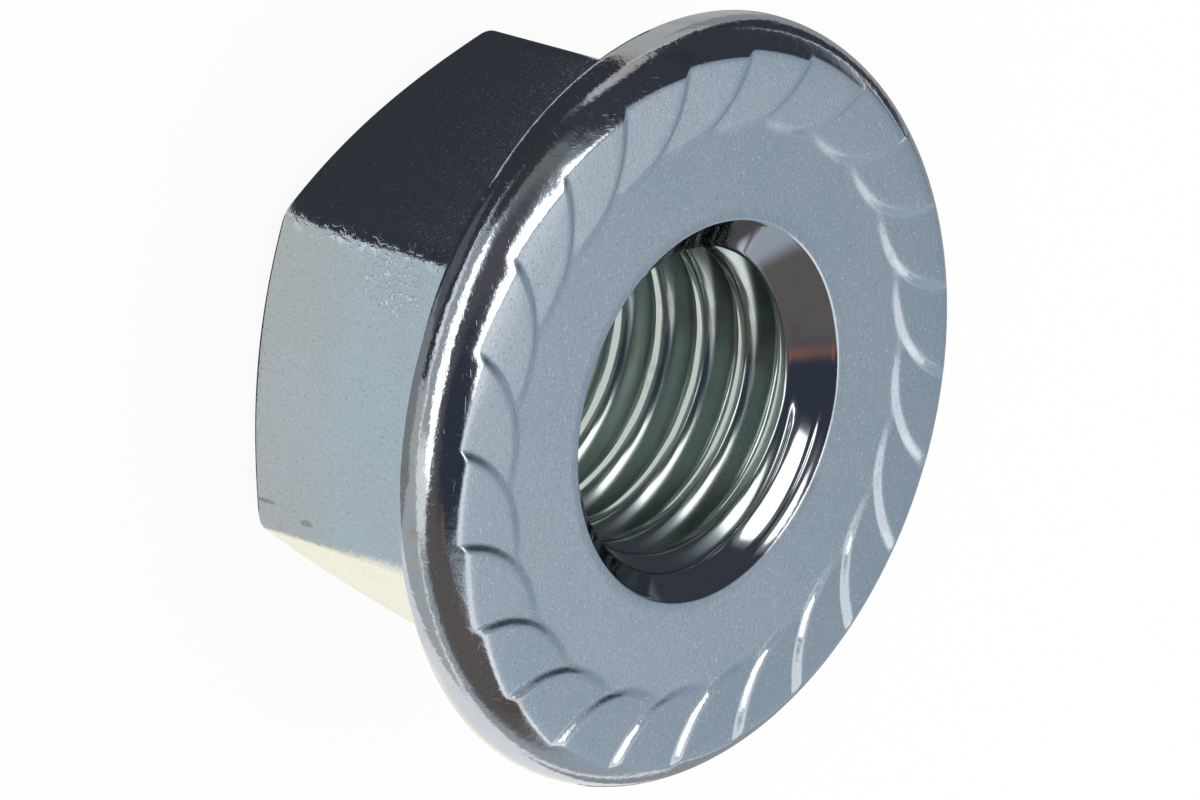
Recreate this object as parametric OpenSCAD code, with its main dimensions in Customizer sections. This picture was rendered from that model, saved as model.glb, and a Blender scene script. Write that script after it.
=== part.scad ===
// Hexagon nut with an integral flange and a serrated bearing face.
// The nut stands on the plain end of its hexagon, with the bearing face up.
// The thread axis is Z, and the origin is the middle of the plain end.

/* [Thread] */
// Nominal diameter of the thread
thread_d = 10; // [9:0.1:11]
// Pitch of the thread
thread_pitch = 1.5; // [1:0.25:1.75]
// How much wider than the thread the countersinks are at the faces
countersink_margin = 0.77; // [0.4:0.01:1.2]
// Angle between opposite sides of a countersink
countersink_angle = 90; // [70:1:120]
// Radius of the edge between a face and its countersink
mouth_round = 0.3; // [0.1:0.05:0.5]

/* [Hexagon] */
// Distance between opposite flats
across_flats = 15; // [14:0.1:16]
// Radius of the six upright edges
corner_round = 0.55; // [0.1:0.05:0.8]
// How far inside the flats the chamfer of the plain end begins
end_inset = 0.45; // [0.1:0.05:0.8]
// Slope of the chamfer of the plain end
end_chamfer_angle = 25; // [15:1:35]

/* [Flange] */
// Height from the plain end to the crests of the serrations
nut_height = 10; // [8:0.1:12]
// Diameter of the flange
flange_d = 21.3; // [20.5:0.1:23]
// Radius of the flange's rim on the bearing side
rim_round = 1.5; // [1:0.05:1.8]
// Height above the crests at which the rim's rounding would run out
rim_runout = 0.03; // [0.01:0.01:0.1]
// Radius of the flange's edge on the hexagon side
back_round = 0.15; // [0.1:0.05:0.4]
// Slope of the flange on the hexagon side
flange_slope = 25; // [15:1:35]

/* [Serrations] */
// Number of serrations round the bearing face
serration_count = 24; // [12:1:30]
// Height of a crest above the flat of the bearing face
serration_height = 0.17; // [0.1:0.01:0.3]
// How far the serrations reach in from the rim
serration_reach = 2.85; // [2.5:0.05:3.5]
// Radius of a serration's curved flank
serration_radius = 3.3; // [2.5:0.1:4]
// Slope of the ramp behind a crest
ramp_angle = 3.2; // [2:0.1:4]
// How far the ramp's fall turns from round the face to out towards the rim
ramp_lean = 20; // [0:1:40]
// Slope of the locking flank in front of a crest
flank_angle = 31; // [20:1:60]
// Turn of the serrations from a corner of the hexagon
serration_turn = 1.5; // [0:0.1:15]

/* [Hidden] */
$fn = 96;

// How far a cut runs past the surface that it opens, and how deep one solid is rooted in another
overrun = 1;

// Thread: the bore is its minor diameter, which is 5/8 of the sharp thread's height inside nominal
sharp_thread_h = thread_pitch * sqrt(3) / 2;
minor_r = thread_d / 2 - 5 / 8 * sharp_thread_h;
countersink_r = (thread_d + countersink_margin) / 2;
cone_half_angle = countersink_angle / 2;
cone_edge_r = countersink_r - mouth_round * cos(cone_half_angle);
cone_edge_depth = mouth_round * (1 - sin(cone_half_angle));
countersink_depth = cone_edge_depth + (cone_edge_r - minor_r) / tan(cone_half_angle);

// Hexagon
corner_centre_r = (across_flats / 2 - corner_round) / cos(30);
end_face_r = across_flats / 2 - end_inset;
chamfer_reach_r = corner_centre_r + corner_round + overrun;
chamfer_rise = (chamfer_reach_r - end_face_r) * tan(end_chamfer_angle);

// Flange, from its rim inwards
flange_r = flange_d / 2;
face_z = nut_height - serration_height;
rim_top_z = nut_height + rim_runout;
rim_mid_z = rim_top_z - rim_round;
back_turn = 90 - flange_slope;
back_r = flange_r - back_round * (1 - cos(back_turn));
back_z = rim_mid_z - back_round * sin(back_turn);
core_r = across_flats / 2 - overrun;
core_z = back_z - (back_r - core_r) * tan(flange_slope);

// Serrations: each pad is a disc that leans over, and this is the middle of its top
pad_r = flange_r - serration_reach + serration_radius;
pad_z = nut_height - serration_radius * sin(ramp_angle);
pad_depth = 3 * serration_height;
pad_base_r = serration_radius + pad_depth / tan(flank_angle);

// The points of an arc from angle a to angle b
function arc(centre, r, a, b, steps) =
    [for (i = [0:steps]) let (t = a + (b - a) * i / steps) centre + r * [cos(t), sin(t)]];

// Half the section of a countersink, from the bore to the face, as radius and depth below the face
countersink = concat(
    [[minor_r, countersink_depth]],
    arc([countersink_r, mouth_round], mouth_round, 180 + cone_half_angle, 270, 4)
);

// A regular hexagon with rounded corners
module hexagon() {
    polygon([for (i = [0:5])
        let (turn = 60 * i)
        each arc(corner_centre_r * [cos(turn), sin(turn)], corner_round, turn - 30, turn + 30, 4)]);
}

// The hexagon with the conical chamfer of its plain end, rooted in the flange
module hexagon_body() {
    intersection() {
        linear_extrude(rim_mid_z)
            hexagon();
        rotate_extrude()
            polygon([
                [0, 0],
                [end_face_r, 0],
                [chamfer_reach_r, chamfer_rise],
                [chamfer_reach_r, nut_height],
                [0, nut_height]
            ]);
    }
}

// The flange as a plain turned shape, before its face is stamped
module flange_blank() {
    rotate_extrude()
        polygon(concat(
            [[0, core_z], [core_r, core_z]],
            arc([flange_r - back_round, rim_mid_z], back_round, -back_turn, 0, 3),
            arc([flange_r - rim_round, rim_mid_z], rim_round, 0, 90, 10),
            [[0, rim_top_z]]
        ));
}

// One serration: the edge of the leaning disc is the locking flank, and its top is the ramp
module serration_pad() {
    translate([pad_r, 0, pad_z])
        rotate([0, 0, -ramp_lean])
            rotate([-ramp_angle, 0, 0])
                translate([0, 0, -pad_depth])
                    cylinder(h = pad_depth, r1 = pad_base_r, r2 = serration_radius);
}

// The metal that the stamping leaves: everything under the flat face, and the serrations on it
module stamped_face() {
    cylinder(h = face_z, r = flange_r + overrun);
    for (i = [0:serration_count - 1])
        rotate(serration_turn + 360 / serration_count * i)
            serration_pad();
}

// The hole for the thread, with a countersink at each end
module bore() {
    rotate_extrude()
        polygon(concat(
            [[0, -overrun], [countersink_r, -overrun]],
            [for (i = [len(countersink) - 1:-1:0]) countersink[i]],
            [for (p = countersink) [p.x, face_z - p.y]],
            [[countersink_r, face_z + overrun], [0, face_z + overrun]]
        ));
}

module flange_nut() {
    color("lightsteelblue")
        difference() {
            union() {
                hexagon_body();
                intersection() {
                    flange_blank();
                    stamped_face();
                }
            }
            bore();
        }
}

flange_nut();
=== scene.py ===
from math import acos, atan, atan2, cos, degrees, hypot, pi, radians, sin, sqrt, tan

import bmesh
import bpy
from mathutils import Matrix, Quaternion, Vector


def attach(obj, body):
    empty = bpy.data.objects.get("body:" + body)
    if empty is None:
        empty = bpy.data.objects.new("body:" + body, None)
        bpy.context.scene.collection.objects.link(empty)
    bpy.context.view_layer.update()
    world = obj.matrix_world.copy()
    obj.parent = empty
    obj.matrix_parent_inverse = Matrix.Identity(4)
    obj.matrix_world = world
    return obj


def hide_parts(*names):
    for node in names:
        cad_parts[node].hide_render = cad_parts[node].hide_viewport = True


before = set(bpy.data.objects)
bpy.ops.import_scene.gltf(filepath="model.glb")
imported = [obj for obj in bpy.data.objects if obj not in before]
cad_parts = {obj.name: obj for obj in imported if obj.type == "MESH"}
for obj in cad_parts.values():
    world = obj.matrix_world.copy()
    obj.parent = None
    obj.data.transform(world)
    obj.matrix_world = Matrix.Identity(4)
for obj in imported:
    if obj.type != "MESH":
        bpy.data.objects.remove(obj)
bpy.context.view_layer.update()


# The nut is one piece of steel, cold formed from wire: a hexagon with a round flange.
# Its blank is drawn here as half a section in millimetres and spun round the thread axis,
# and the tools then move the metal: the hexagon die, the face stamp and the tap.
MM = 0.001
FLANGE_R = 10.645
FACE_Z = 9.83
RIM_ROUND = 1.5
RIM_R = FLANGE_R - RIM_ROUND
RIM_Z = 8.53
BACK_ROUND = 0.15
FLANGE_SLOPE = radians(25)
END_R = 7.05
MOUTH_R = 5.31
MOUTH_ROUND = 0.12
MINOR_R = 4.25
THREAD_TOP_Z = 8.4
SINK_FOOT_Z = 8.45
TEETH = 24
COLUMNS_PER_TOOTH = 20
COLUMNS = TEETH * COLUMNS_PER_TOOTH


def arc(centre_r, centre_z, radius, start, end, steps):
    angles = [radians(start + (end - start) * i / steps) for i in range(steps + 1)]
    return [(centre_r + radius * cos(a), centre_z + radius * sin(a)) for a in angles]


def spaced(start, end, count):
    return [start + (end - start) * i / (count - 1) for i in range(count)]


section = []


def add_rings(points):
    first = len(section)
    section.extend(points)
    return range(first, len(section))


CONE_DEPTH = MOUTH_ROUND * (1 - sin(radians(45)))
CONE_R = MOUTH_R - MOUTH_ROUND * cos(radians(45))


def cone_r(z):
    return CONE_R + CONE_DEPTH - min(z, FACE_Z - z)


BACK_R = FLANGE_R - BACK_ROUND * (1 - cos(pi / 2 - FLANGE_SLOPE))
BACK_Z = RIM_Z - BACK_ROUND * sin(pi / 2 - FLANGE_SLOPE)


def back_z(r):
    return BACK_Z - (BACK_R - r) * tan(FLANGE_SLOPE)


# The rings of the section, only roughly placed where a tool moves them later
bore = add_rings([(max(MINOR_R, cone_r(z)), z)
                  for z in spaced(CONE_DEPTH, THREAD_TOP_Z, 98)
                  + spaced(SINK_FOOT_Z, FACE_Z - CONE_DEPTH, 26)])
mouth = add_rings(arc(MOUTH_R, FACE_Z - MOUTH_ROUND, MOUTH_ROUND, 135, 90, 4)[1:])
FACE_RADII = [5.6, 6.2, 6.8, 7.15] + spaced(7.34, 8.3, 11) + [8.48, 8.7, 8.95]
face = add_rings([(r, FACE_Z) for r in FACE_RADII])
edge = add_rings([(9.2 + 0.1 * i, FACE_Z) for i in range(8)])
rim = add_rings(arc(RIM_R, RIM_Z, RIM_ROUND, 55, 0, 12))
back = add_rings(arc(FLANGE_R - BACK_ROUND, RIM_Z, BACK_ROUND, 0, -65, 4)[1:])
slope = add_rings([(r, back_z(r)) for r in [10.2, 9.6, 9.15]])
foot = add_rings([(8.7, 7.2 - 0.05 * i) for i in range(6)])
wall = add_rings([(8.6, 5.6 - 1.2 * i) for i in range(4)])
end_edge = add_rings([(8.55, 0.9 - 0.1 * i) for i in range(5)])
chamfer = add_rings([(7.8, 0.35)])
end_turn = add_rings([(END_R + 0.1 - 0.05 * i, 0.05 - 0.01 * i) for i in range(4)])
end_face = add_rings([(6.4, 0), (5.7, 0)])
end_mouth = add_rings(arc(MOUTH_R, MOUTH_ROUND, MOUTH_ROUND, 270, 225, 4)[:-1])

nut = bmesh.new()
ring_of = nut.verts.layers.int.new("ring")
marks = ("burnish", "drawn", "tapped")
burnish, drawn, tapped = [nut.verts.layers.float.new(name) for name in marks]
outline = [nut.verts.new((r, 0, z)) for r, z in section]
for ring, vert in enumerate(outline):
    vert[ring_of] = ring
outline_edges = [nut.edges.new(pair) for pair in zip(outline, outline[1:] + outline[:1])]
bmesh.ops.spin(nut, geom=outline + outline_edges, cent=(0, 0, 0), axis=(0, 0, 1),
               angle=2 * pi, steps=COLUMNS, use_merge=True)


def soft_max(a, b, rounding):
    return (a + b + sqrt((a - b) ** 2 + rounding ** 2)) / 2


def soft_min(a, b, rounding):
    return (a + b - sqrt((a - b) ** 2 + rounding ** 2)) / 2


def ease(t):
    t = min(max(t, 0), 1)
    return t * t * (3 - 2 * t)


# The hexagon die: rounded corners and a chamfered end, with more columns at the corners
HALF_FLATS = 7.5
CORNER_ROUND = 0.55
END_SLOPE = radians(25)
CORNER_COLUMNS = 3
CORNER_C = (HALF_FLATS - CORNER_ROUND) / cos(radians(30))
CORNER_HALF = 30 - degrees(atan((HALF_FLATS - CORNER_ROUND) * tan(radians(30)) / HALF_FLATS))


def from_corner(turn):
    return (turn + 30) % 60 - 30


def hexagon_turn(turn):
    d = from_corner(turn)
    rounded = abs(d) / CORNER_COLUMNS * CORNER_HALF
    flat_share = (abs(d) - CORNER_COLUMNS) / (30 - CORNER_COLUMNS)
    flat = CORNER_HALF + flat_share * (30 - CORNER_HALF)
    moved = rounded if abs(d) < CORNER_COLUMNS else flat
    return turn - d + (moved if d > 0 else -moved)


def hexagon_r(turn):
    d = radians(abs(from_corner(turn)))
    if degrees(d) > CORNER_HALF:
        return HALF_FLATS / cos(radians(30) - d)
    return CORNER_C * cos(d) + sqrt(CORNER_ROUND ** 2 - (CORNER_C * sin(d)) ** 2)


def bend(a, corner, b, t):
    return [(1 - t) ** 2 * p + 2 * t * (1 - t) * q + t * t * s for p, q, s in zip(a, corner, b)]


def along(rings, ring):
    return (ring - rings.start) / max(len(rings) - 1, 1)


FOOT_REACH = 0.2
END_REACH = 0.14
END_FACE_REACH = 0.12


def hexagon_point(ring, turn):
    r = hexagon_r(turn)
    foot_z = back_z(r)
    end_z = (r - END_R) * tan(END_SLOPE)
    if ring in foot:
        start = (r + FOOT_REACH * cos(FLANGE_SLOPE), foot_z + FOOT_REACH * sin(FLANGE_SLOPE))
        return bend(start, (r, foot_z), (r, foot_z - FOOT_REACH), along(foot, ring))
    if ring in wall:
        t = (ring - wall.start + 1) / (len(wall) + 1)
        return r, foot_z - FOOT_REACH + (end_z + END_REACH - foot_z + FOOT_REACH) * t
    chamfer_start = (r - END_REACH * cos(END_SLOPE), end_z - END_REACH * sin(END_SLOPE))
    chamfer_end = (END_R + END_FACE_REACH * cos(END_SLOPE), END_FACE_REACH * sin(END_SLOPE))
    if ring in end_edge:
        return bend((r, end_z + END_REACH), (r, end_z), chamfer_start, along(end_edge, ring))
    if ring in chamfer:
        return [(p + q) / 2 for p, q in zip(chamfer_start, chamfer_end)]
    return bend(chamfer_end, (END_R, 0), (END_R - END_FACE_REACH, 0), along(end_turn, ring))


# The face stamp: each serration is the edge of a disc that leans over, as in the solid
CREST_Z = 10.0
DISC_ROUND = 3.3
SERRATION_REACH = 2.85
DISC_R = FLANGE_R - SERRATION_REACH + DISC_ROUND
RAMP = radians(3.2)
RAMP_LEAN = radians(20)
FLANK = radians(31)
STAMP_TURN = 1.5
DISC_Z = CREST_Z - DISC_ROUND * sin(RAMP)
TOOTH = 360 / TEETH
FLANK_START = -3.0
FLANK_SHARE = 3.6
CREST_SOFT = 0.025
FOOT_SOFT = 0.012
INNER_CREST_R = 7.9
LAG_FROM_R = 7.2


def stamped_z(r, turn):
    height = FACE_Z
    nearest = round((turn - STAMP_TURN) / TOOTH)
    for tooth in range(nearest - 1, nearest + 3):
        a = radians(turn - STAMP_TURN - tooth * TOOTH)
        x, y = r * cos(a) - DISC_R, r * sin(a)
        down = x * sin(RAMP_LEAN) + y * cos(RAMP_LEAN)
        ramp = DISC_Z - down * tan(RAMP)
        flank = ramp - (hypot(x, y) - DISC_ROUND) * tan(FLANK)
        height = soft_max(height, soft_min(ramp, flank, CREST_SOFT), FOOT_SOFT)
    return height


def crest_lag(r):
    if r < INNER_CREST_R:
        return crest_lag(INNER_CREST_R) * ease((r - LAG_FROM_R) / (INNER_CREST_R - LAG_FROM_R))
    return degrees(acos((r * r + DISC_R ** 2 - DISC_ROUND ** 2) / (2 * r * DISC_R)))


def stamped_turn(column, r):
    tooth, step = divmod(column, COLUMNS_PER_TOOTH)
    share = step / COLUMNS_PER_TOOTH
    if share < 0.5:
        across = FLANK_START + 2 * share * FLANK_SHARE
    else:
        across = FLANK_START + FLANK_SHARE + (2 * share - 1) * (TOOTH - FLANK_SHARE)
    return STAMP_TURN + (tooth + 1) * TOOTH + across - crest_lag(r)


# The rim falls away from the face, and its edge is worn rounder on one side
RIM_FALL = radians(38)
FALL_R = RIM_R + RIM_ROUND * sin(RIM_FALL)


def rim_z(r):
    if r < FALL_R:
        return RIM_Z + RIM_ROUND * cos(RIM_FALL) + (FALL_R - r) * tan(RIM_FALL)
    return RIM_Z + sqrt(RIM_ROUND ** 2 - (r - RIM_R) ** 2)


def edge_r(column):
    low, high = 9.2, 10.3
    for _ in range(24):
        middle = (low + high) / 2
        if rim_z(middle) > stamped_z(middle, stamped_turn(column, middle)):
            low = middle
        else:
            high = middle
    return low


EDGE_ROUND = 0.05
WEAR = 0.13
WEAR_TURN = 243
WEAR_REACH = 16


def turn_between(a, b):
    return (a - b + 180) % 360 - 180


def edge_round(turn):
    return EDGE_ROUND + WEAR * ease(1.5 - abs(turn_between(turn, WEAR_TURN)) / WEAR_REACH)


edge_at = [edge_r(column) for column in range(COLUMNS)]
EDGE_R = 9.65
EDGE_FROM_R = 8.2
EDGE_REACH = 1.2
EDGE_STEPS = [-0.3, -0.16, -0.09, -0.045, -0.01, 0.03, 0.085, 0.15]


def face_point(ring, column):
    meet = edge_at[column]
    if ring in edge:
        r = meet + EDGE_STEPS[ring - edge.start]
    else:
        r = section[ring][0]
        r = r + (meet - EDGE_R) * ease((r - EDGE_FROM_R) / EDGE_REACH)
    turn = stamped_turn(column, r)
    return r, turn, soft_min(rim_z(r), stamped_z(r, turn), edge_round(turn))


# The tap: a right-hand thread with flat crests and rounded roots, which runs out under the face
PITCH = 1.5
THREAD_DEPTH = 0.8
CREST_FLAT = 0.36
THREAD_FLANK = radians(60)
THREAD_START = 0.554
THREAD_CREST_SOFT = 0.06
THREAD_ROOT_SOFT = 0.12
RUNOUT = 0.5
BORE_TURN = 11.5


def tapped_r(turn, z):
    pitch_share = (z / PITCH - turn / 360 - THREAD_START) % 1
    from_crest = min(pitch_share, 1 - pitch_share) * PITCH
    flank = soft_max((from_crest - CREST_FLAT / 2) * tan(THREAD_FLANK), 0, THREAD_CREST_SOFT)
    groove = soft_min(flank, THREAD_DEPTH, THREAD_ROOT_SOFT)
    return MINOR_R + groove * ease((FACE_Z - z - RUNOUT) / RUNOUT)


# The countersink under the face has a faint step on one side, given as depths and radii
STEP = [(0.035, 5.226), (0.19, 5.0), (0.30, 4.97), (0.60, 4.465), (1.2, 4.061)]
STEP_TURN = 55
STEP_REACH = 22


def countersink_r(turn, z):
    plain = cone_r(z)
    depth = FACE_Z - z
    for (a, r_a), (b, r_b) in zip(STEP, STEP[1:]):
        if a <= depth <= b:
            stepped = r_a + (r_b - r_a) * (depth - a) / (b - a)
            return plain + (stepped - plain) * ease(1.6 - abs(turn - STEP_TURN) / STEP_REACH)
    return plain


# Each ring of the blank goes to where its tool leaves it
THREAD_EDGE_SOFT = 0.03
THREAD_EDGE_REACH = 0.08
STAMP_FROM_R = 5.4
STAMP_REACH = 1.7
for vert in nut.verts:
    ring = vert[ring_of]
    column = round(atan2(vert.co.y, vert.co.x) / (2 * pi) * COLUMNS) % COLUMNS
    turn = 360 * column / COLUMNS
    r, z = section[ring]
    if ring in bore:
        turn += BORE_TURN * z / FACE_Z
        groove_r = tapped_r(turn, z)
        sink_r = countersink_r(turn, z)
        r = soft_max(groove_r, sink_r, THREAD_EDGE_SOFT)
        vert[tapped] = ease((groove_r - sink_r) / THREAD_EDGE_REACH + 0.5)
    elif ring in mouth:
        turn += BORE_TURN
    elif ring in face or ring in edge:
        radius, stamped, z = face_point(ring, column)
        plain = turn + BORE_TURN
        turn = plain + (stamped - plain) * ease((r - STAMP_FROM_R) / STAMP_REACH)
        r = radius
    elif ring in rim:
        start = acos((edge_at[column] + EDGE_STEPS[-1] - RIM_R) / RIM_ROUND)
        t = (ring - rim.start + 1) / len(rim)
        r = RIM_R + RIM_ROUND * cos(start * (1 - t))
        stamped = stamped_turn(column, edge_at[column])
        turn = stamped + turn_between(turn, stamped) * ease(t)
        z = soft_min(rim_z(r), stamped_z(r, turn), edge_round(turn))
    elif ring in slope:
        turn += (hexagon_turn(turn) - turn) * along(slope, ring)
    elif foot.start <= ring < end_face.start:
        turn = hexagon_turn(turn)
        r, z = hexagon_point(ring, turn)
    vert[drawn] = 1.0 if ring >= slope.start else 0.0
    vert.co = Vector((r * cos(radians(turn)), r * sin(radians(turn)), z)) * MM

bmesh.ops.recalc_face_normals(nut, faces=nut.faces)
nut.normal_update()

# Marks for the plating: burnished on flanks, rim and bore, and part worn along the hexagon's edges
LEVEL = 0.992
SLOPE_REACH = 0.05
RUB_START = -0.07
RUB_REACH = 0.05
WORN_EDGE = 0.7
for vert in nut.verts:
    ring = vert[ring_of]
    if ring in face or ring in edge:
        at_edge = EDGE_STEPS[ring - edge.start] if ring in edge else -1
        vert[burnish] = max(ease((LEVEL - vert.normal.z) / SLOPE_REACH),
                            ease((at_edge - RUB_START) / RUB_REACH))
    elif ring in rim or ring in back or ring in mouth or ring in end_mouth or ring in bore:
        vert[burnish] = 1.0
    elif ring in end_edge:
        vert[burnish] = WORN_EDGE * ease(2 - abs(4 * along(end_edge, ring) - 2))
    elif ring in wall or ring in foot:
        d = from_corner(degrees(atan2(vert.co.y, vert.co.x)))
        vert[burnish] = WORN_EDGE * ease(1.6 - abs(d) / CORNER_HALF)

nut_mesh = bpy.data.meshes.new("flange_nut")
nut.to_mesh(nut_mesh)
nut.free()
nut_mesh.shade_smooth()
nut_piece = bpy.data.objects.new("zinc_flange_nut", nut_mesh)
bpy.context.collection.objects.link(nut_piece)

# The plating: satin on the face, polished where the stamp and the die rub, grained on the hexagon
zinc = bpy.data.materials.new("zinc_plate")
zinc.use_nodes = True
nodes, links = zinc.node_tree.nodes, zinc.node_tree.links
plated = nodes["Principled BSDF"]
plated.inputs["Metallic"].default_value = 1


def plug(value, socket):
    if isinstance(value, bpy.types.NodeSocket):
        links.new(value, socket)
    else:
        socket.default_value = value


def calc(operation, *values):
    node = nodes.new("ShaderNodeMath")
    node.operation = operation
    for value, socket in zip(values, node.inputs):
        plug(value, socket)
    return node.outputs[0]


def total(*values):
    result = values[0]
    for value in values[1:]:
        result = calc("ADD", result, value)
    return result


def times(a, b):
    return calc("MULTIPLY", a, b)


def step_up(value, low, high):
    node = nodes.new("ShaderNodeMapRange")
    node.interpolation_type = "SMOOTHSTEP"
    plug(value, node.inputs["Value"])
    node.inputs["From Min"].default_value = low
    node.inputs["From Max"].default_value = high
    return node.outputs["Result"]


def tint(share, under, over):
    node = nodes.new("ShaderNodeMix")
    node.data_type = "RGBA"
    plug(share, node.inputs["Factor"])
    plug(under, node.inputs["A"])
    plug(over, node.inputs["B"])
    return node.outputs["Result"]


def mask(name):
    node = nodes.new("ShaderNodeAttribute")
    node.attribute_name = name
    return node.outputs["Fac"]


place = nodes.new("ShaderNodeTexCoord").outputs["Object"]


def stretched(size, turn):
    node = nodes.new("ShaderNodeMapping")
    node.inputs["Rotation"].default_value = (0, 0, radians(turn))
    node.inputs["Scale"].default_value = [1 / (length * MM) for length in size]
    links.new(place, node.inputs["Vector"])
    return node.outputs["Vector"]


def near(point, size):
    node = nodes.new("ShaderNodeMapping")
    node.inputs["Location"].default_value = [-x / length for x, length in zip(point, size)]
    node.inputs["Scale"].default_value = [1 / (length * MM) for length in size]
    links.new(place, node.inputs["Vector"])
    away = nodes.new("ShaderNodeVectorMath")
    away.operation = "LENGTH"
    links.new(node.outputs["Vector"], away.inputs[0])
    return step_up(away.outputs["Value"], 1.0, 0.4)


def noise(size, detail, turn=0.0):
    node = nodes.new("ShaderNodeTexNoise")
    node.inputs["Scale"].default_value = 1
    node.inputs["Detail"].default_value = detail
    links.new(stretched(size, turn), node.inputs["Vector"])
    return node.outputs["Fac"]


SINK_EDGE = (5.12, 5.3)
polished, grained, cut = [mask(name) for name in marks]
worn = times(polished, grained)
from_axis = nodes.new("ShaderNodeVectorMath")
from_axis.operation = "LENGTH"
links.new(stretched((1, 1, 1e6), 0), from_axis.inputs[0])
outside = step_up(from_axis.outputs["Value"], *SINK_EDGE)
grain = noise((0.07, 0.07, 0.07), 2)
peel = noise((0.3, 0.3, 0.3), 3)
cloud = step_up(noise((2.2, 2.2, 2.2), 3), 0.35, 0.65)
stain = step_up(noise((1.7, 1.7, 1.7), 4, 40), 0.58, 0.72)
spots = noise((0.09, 0.09, 0.09), 3, 65)
dull = times(outside, calc("SUBTRACT", 1.0, times(polished, 0.75)))
pits = times(step_up(spots, 0.6, 0.72), dull)
specks = times(step_up(spots, 0.4, 0.28), dull)
# Painted glints: a cluster of rough spots on one flat and a worn strip down one hexagon corner,
# bumped and lightened in colour
scuffs_and_glints = times(step_up(noise((0.13, 0.13, 0.13), 3, 30), 0.53, 0.61),
               near((-3.3, -7.5, 4.8), (1.2, 1, 1.7)))
corner_wear_and_glints = times(step_up(noise((0.2, 0.2, 0.25), 2, 50), 0.5, 0.6),
                    near((-4.15, -7.35, 3.6), (0.42, 0.42, 5)))
glints = total(scuffs_and_glints, corner_wear_and_glints)
nicks = total(near((3.6, -7.5, 0.95), (0.07, 0.3, 0.5)),
              near((3.85, -7.5, 2.5), (0.12, 0.3, 0.3)))
scratches = times(total(step_up(noise((0.45, 0.03, 0.45), 1, 25), 0.66, 0.8),
                        step_up(noise((0.04, 0.5, 0.4), 1, -15), 0.67, 0.8)), outside)

face_tone = tint(cloud, (0.61, 0.635, 0.675, 1), (0.575, 0.625, 0.67, 1))
hexagon_tone = tint(cloud, (0.62, 0.645, 0.64, 1), (0.625, 0.665, 0.675, 1))
worked_tone = tint(grained, face_tone, hexagon_tone)
thread_tone = tint(cut, worked_tone, (0.54, 0.60, 0.58, 1))
stained_tone = tint(times(stain, times(polished, 0.5)), thread_tone, (0.42, 0.34, 0.30, 1))
mottle = times(times(step_up(grain, 0.3, 0.75), outside), total(0.2, times(grained, 0.15)))
mottled_tone = tint(mottle, stained_tone, (0.40, 0.42, 0.45, 1))
pitted_tone = tint(times(pits, 0.35), mottled_tone, (0.25, 0.25, 0.27, 1))
nicked_tone = tint(times(nicks, 0.55), pitted_tone, (0.2, 0.2, 0.2, 1))
# Painted highlight: the glints lighten the colour towards near-white, and the specks lighten it a
# little at random
bright = total(times(specks, 0.4), times(glints, 0.8))
links.new(tint(bright, nicked_tone, (0.87, 0.88, 0.9, 1)), plated.inputs["Base Color"])

satin = total(0.235, times(polished, -0.16), times(cut, 0.08), times(worn, 0.08),
              times(grained, -0.03))
patchy = times(times(calc("SUBTRACT", grain, 0.5), outside), 0.1)
links.new(total(satin, patchy, times(scratches, -0.05), times(specks, times(grained, 0.12))),
          plated.inputs["Roughness"])

grain_depth = total(0.22, times(polished, -0.1), times(grained, 0.3), times(worn, 0.5))
peel_depth = total(0.4, times(polished, 0.45), times(grained, 0.8), times(worn, 1.5))
uneven = total(times(grain, grain_depth), times(peel, peel_depth), times(pits, -0.25),
               times(specks, 0.25), times(scratches, -0.15), times(glints, 1.3), times(nicks, -2.0))
relief = times(uneven, outside)
RELIEF = 0.01
bump = nodes.new("ShaderNodeBump")
bump.inputs["Strength"].default_value = 1
bump.inputs["Distance"].default_value = RELIEF * MM
links.new(relief, bump.inputs["Height"])
links.new(bump.outputs["Normal"], plated.inputs["Normal"])
nut_mesh.materials.append(zinc)

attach(nut_piece, "root")
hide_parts("flange_nut")


# The floor is a wide sheet of white card under the nut, plain and matt.
# It is lifted to white for the camera and for the metal, and keeps part of the nut's shadow.
def add_object(name, shape):
    mesh = bpy.data.meshes.new(name)
    shape.to_mesh(mesh)
    shape.free()
    added = bpy.data.objects.new(name, mesh)
    bpy.context.collection.objects.link(added)
    return added


SHEET_R = 1.5
LIFT = 0.92
sheet = bmesh.new()
bmesh.ops.create_circle(sheet, cap_ends=True, segments=96, radius=SHEET_R)
floor = add_object("floor", sheet)
white_card = bpy.data.materials.new("white_card")
white_card.use_nodes = True
nodes, links = white_card.node_tree.nodes, white_card.node_tree.links
nodes.clear()
matt = nodes.new("ShaderNodeBsdfDiffuse")
matt.inputs["Color"].default_value = (0.95, 0.95, 0.95, 1)
lifted = nodes.new("ShaderNodeEmission")
ray = nodes.new("ShaderNodeLightPath")
seen = total(*[ray.outputs[f"Is {kind} Ray"] for kind in ("Camera", "Glossy", "Transmission")])
share = times(seen, LIFT)
share.node.use_clamp = True
lift = nodes.new("ShaderNodeMixShader")
links.new(share, lift.inputs["Fac"])
links.new(matt.outputs[0], lift.inputs[1])
links.new(lifted.outputs[0], lift.inputs[2])
links.new(lift.outputs[0], nodes.new("ShaderNodeOutputMaterial").inputs["Surface"])
floor.data.materials.append(white_card)


# Toned paper cards lie on the floor round the nut, where only the metal shows them.
# The black ones darken one flat and the rim above it, the low dark strip under the flat on the -Y
# side is a painted contact shadow in its reflection, and the others tone the rest of the metal.
# Each has a colour, middle, size and turn, and one that lies higher covers those below.
def hide_from_camera(card):
    card.visible_camera = False
    card.visible_diffuse = False
    card.visible_shadow = False


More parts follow.
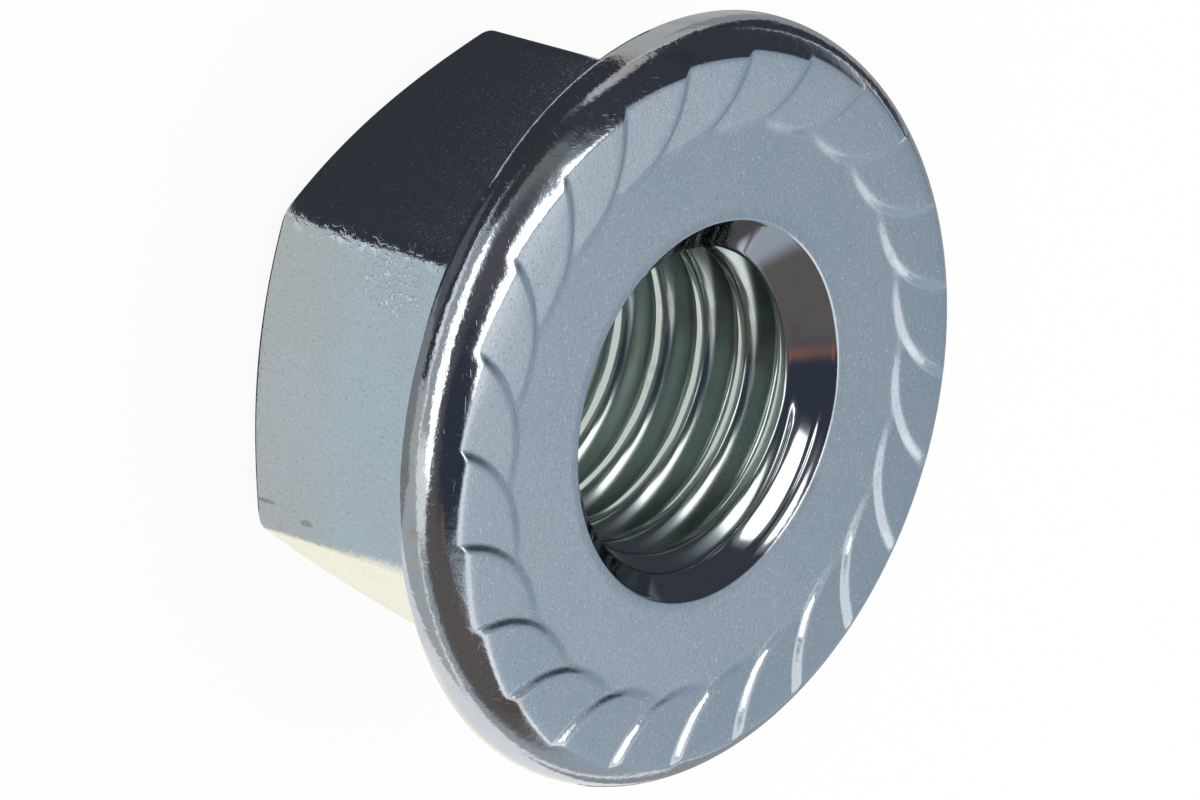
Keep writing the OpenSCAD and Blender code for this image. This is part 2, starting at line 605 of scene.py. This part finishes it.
def lay_card(name, colour, middle, size, turn=0.0):
    card_shape = bmesh.new()
    bmesh.ops.create_grid(card_shape, x_segments=1, y_segments=1, size=0.5)
    bmesh.ops.scale(card_shape, vec=(size[0] * MM, size[1] * MM, 1), verts=card_shape.verts)
    bmesh.ops.rotate(card_shape, matrix=Matrix.Rotation(radians(turn), 3, "Z"),
                     verts=card_shape.verts)
    bmesh.ops.translate(card_shape, vec=Vector(middle) * MM, verts=card_shape.verts)
    card = add_object(name, card_shape)
    tone = bpy.data.materials.new(name)
    tone.use_nodes = True
    tone.cycles.emission_sampling = "NONE"
    tone.node_tree.nodes.clear()
    glow = tone.node_tree.nodes.new("ShaderNodeEmission")
    glow.inputs["Color"].default_value = (*colour, 1)
    output = tone.node_tree.nodes.new("ShaderNodeOutputMaterial")
    tone.node_tree.links.new(glow.outputs[0], output.inputs["Surface"])
    card.data.materials.append(tone)
    hide_from_camera(card)


BLACK = (0.044, 0.05, 0.063)
lay_card("black_card", BLACK, (-57, -32, 0.06), (105.6, 56))
lay_card("near_black_card", BLACK, (-10.6, -1.5, 0.058), (12.8, 13))
lay_card("far_black_card", BLACK, (-242, -71, 0.056), (305, 177))
lay_card("slant_black_card", BLACK, (-201, 15, 0.054), (390, 60), -14)
lay_card("back_black_card", BLACK, (-167.6, 163.4, 0.052), (390, 120), -26.6)
lay_card("white_strip", (0.62, 0.62, 0.6), (-16.6, -5, 0.1), (2.6, 14), 12)
lay_card("band_grey_card", (0.55, 0.55, 0.54), (-90, 40, 0.025), (165, 90))
lay_card("edge_grey_card", (0.3, 0.32, 0.33), (4, 14, 0.035), (32, 14))
lay_card("warm_grey_card", (0.645, 0.68, 0.695), (2, -8.7, 0.08), (14, 3.6))
lay_card("blue_grey_card", (0.61, 0.715, 0.79), (2, -14, 0.07), (14, 7))
lay_card("dim_card", (0.28, 0.29, 0.29), (0, -25, 0.065), (18, 15))
lay_card("dark_card", (0.13, 0.135, 0.14), (-16, -25, 0.065), (14, 15))
# Painted shadow: a dark strip where the nut's contact shadow would lie, seen only in the reflection
# of the flat on the -Y side
lay_card("contact_shade_card", (0.06, 0.06, 0.06), (0, -6.6, 0.09), (8.4, 2.1))
lay_card("cream_card", (1.2, 1.14, 0.96), (12, -1, 0.05), (16, 18))
lay_card("far_grey_card", (0.52, 0.53, 0.52), (40, -64, 0.04), (116, 93))
lay_card("side_grey_card", (0.33, 0.35, 0.37), (20, 70, 0.03), (120, 110))


# The room round the table is a grey cloth tent with bright windows, dark where there is no light.
# Its patches are ovals, each given by azimuth, elevation, half width and half height in degrees,
# share of soft edge and colour, and a later one lies over those before it.
TENT_R = 0.4
tent_shape = bmesh.new()
bmesh.ops.create_uvsphere(tent_shape, u_segments=48, v_segments=24, radius=TENT_R)
tent = add_object("tent", tent_shape)
cloth = bpy.data.materials.new("tent_cloth")
cloth.use_nodes = True
cloth.cycles.emission_sampling = "NONE"
nodes, links = cloth.node_tree.nodes, cloth.node_tree.links
nodes.clear()
outward = nodes.new("ShaderNodeVectorMath")
outward.operation = "NORMALIZE"
links.new(nodes.new("ShaderNodeTexCoord").outputs["Object"], outward.inputs[0])


def patch_share(azimuth, elevation, width, height, edge_share):
    turned = nodes.new("ShaderNodeMapping")
    turned.vector_type = "TEXTURE"
    turned.inputs["Rotation"].default_value = (0, -radians(elevation), radians(azimuth))
    turned.inputs["Scale"].default_value = (1, sin(radians(width)), sin(radians(height)))
    links.new(outward.outputs[0], turned.inputs["Vector"])
    ahead = nodes.new("ShaderNodeSeparateXYZ")
    links.new(turned.outputs["Vector"], ahead.inputs[0])
    off = calc("SQRT", total(calc("POWER", ahead.outputs[1], 2.0),
                             calc("POWER", ahead.outputs[2], 2.0)))
    inside = calc("SUBTRACT", 1.0, step_up(off, 1 - edge_share, 1 + edge_share))
    return times(inside, calc("GREATER_THAN", ahead.outputs[0], 0.0))


tent_tone = (0.42, 0.45, 0.48, 1)
for *patch, colour in [
    (71, 39, 45, 38, 0.3, (0.44, 0.535, 0.615)),
    (92, 30, 24, 30, 0.5, (0.35, 0.42, 0.49)),
    (30, 60, 27, 21, 0.28, (1.0, 1.03, 1.07)),
    (21, 37, 11, 14, 0.3, (1.2, 1.22, 1.25)),
    (150, 22, 50, 32, 0.2, (0.05, 0.055, 0.07)),
    (170, 6, 12, 8, 0.3, (0.6, 0.61, 0.61)),
    (205, 8, 19, 14, 0.2, (0.05, 0.055, 0.06)),
    (207, 38, 18, 18, 0.2, (0.2, 0.22, 0.215)),
    (332, 28, 44, 19, 0.15, (0.15, 0.13, 0.12)),
    (258, 52, 40, 25, 0.2, (0.11, 0.105, 0.12)),
    (286, 57, 24, 18, 0.3, (0.04, 0.05, 0.07)),
    (312, 43, 4, 3, 0.6, (0.3, 0.14, 0.1)),
    (293, 6, 14, 10, 0.2, (1.0, 1.0, 0.97)),
    (259, 21, 33, 8, 0.12, (2.2, 2.2, 2.2)),
    (170, 76, 13.5, 20, 0.12, (2.2, 2.2, 2.2)),
]:
    tent_tone = tint(patch_share(*patch), tent_tone, (*colour, 1))
tent_glow = nodes.new("ShaderNodeEmission")
links.new(tent_tone, tent_glow.inputs["Color"])
links.new(tent_glow.outputs[0], nodes.new("ShaderNodeOutputMaterial").inputs["Surface"])
tent.data.materials.append(cloth)
hide_from_camera(tent)

room = bpy.data.worlds.new("room")
room.use_nodes = True
room.node_tree.nodes["Background"].inputs["Color"].default_value = (1, 1, 1, 1)
bpy.context.scene.world = room


# The camera looks down on the bearing face with a long lens, turned on its side.
# Its lens and aim were fitted to the photograph, and are given in pixels of it.
FOCAL_PX = 6926.7
PHOTO_WIDTH_PX = 1200
AIM_RIGHT_PX = 3.77
AIM_DOWN_PX = 0.37
SENSOR = 36
camera_data = bpy.data.cameras.new("camera")
camera_data.sensor_width = SENSOR
camera_data.lens = FOCAL_PX / PHOTO_WIDTH_PX * SENSOR
camera_data.clip_start = 0.01
camera = bpy.data.objects.new("camera", camera_data)
right = Vector((-0.0905, 0.6635, 0.7427))
up = Vector((-0.9645, 0.1273, -0.2314))
ahead = Vector((0.2480, 0.7373, -0.6284))
forward = ahead * FOCAL_PX + right * AIM_RIGHT_PX - up * AIM_DOWN_PX
side = forward.cross(up).normalized()
level = side.cross(forward).normalized()
roll = forward.to_track_quat("-Z", "Y")
upright = roll @ Vector((0, 1, 0))
tip = atan2(upright.cross(level).dot(forward.normalized()), upright.dot(level))
camera.rotation_mode = "QUATERNION"
camera.rotation_quaternion = Quaternion(forward.normalized(), tip) @ roll
camera.location = Vector((-45.79, -137.98, 123.4)) * MM
bpy.context.collection.objects.link(camera)
bpy.context.scene.camera = camera

bpy.context.scene.view_settings.view_transform = "Standard"
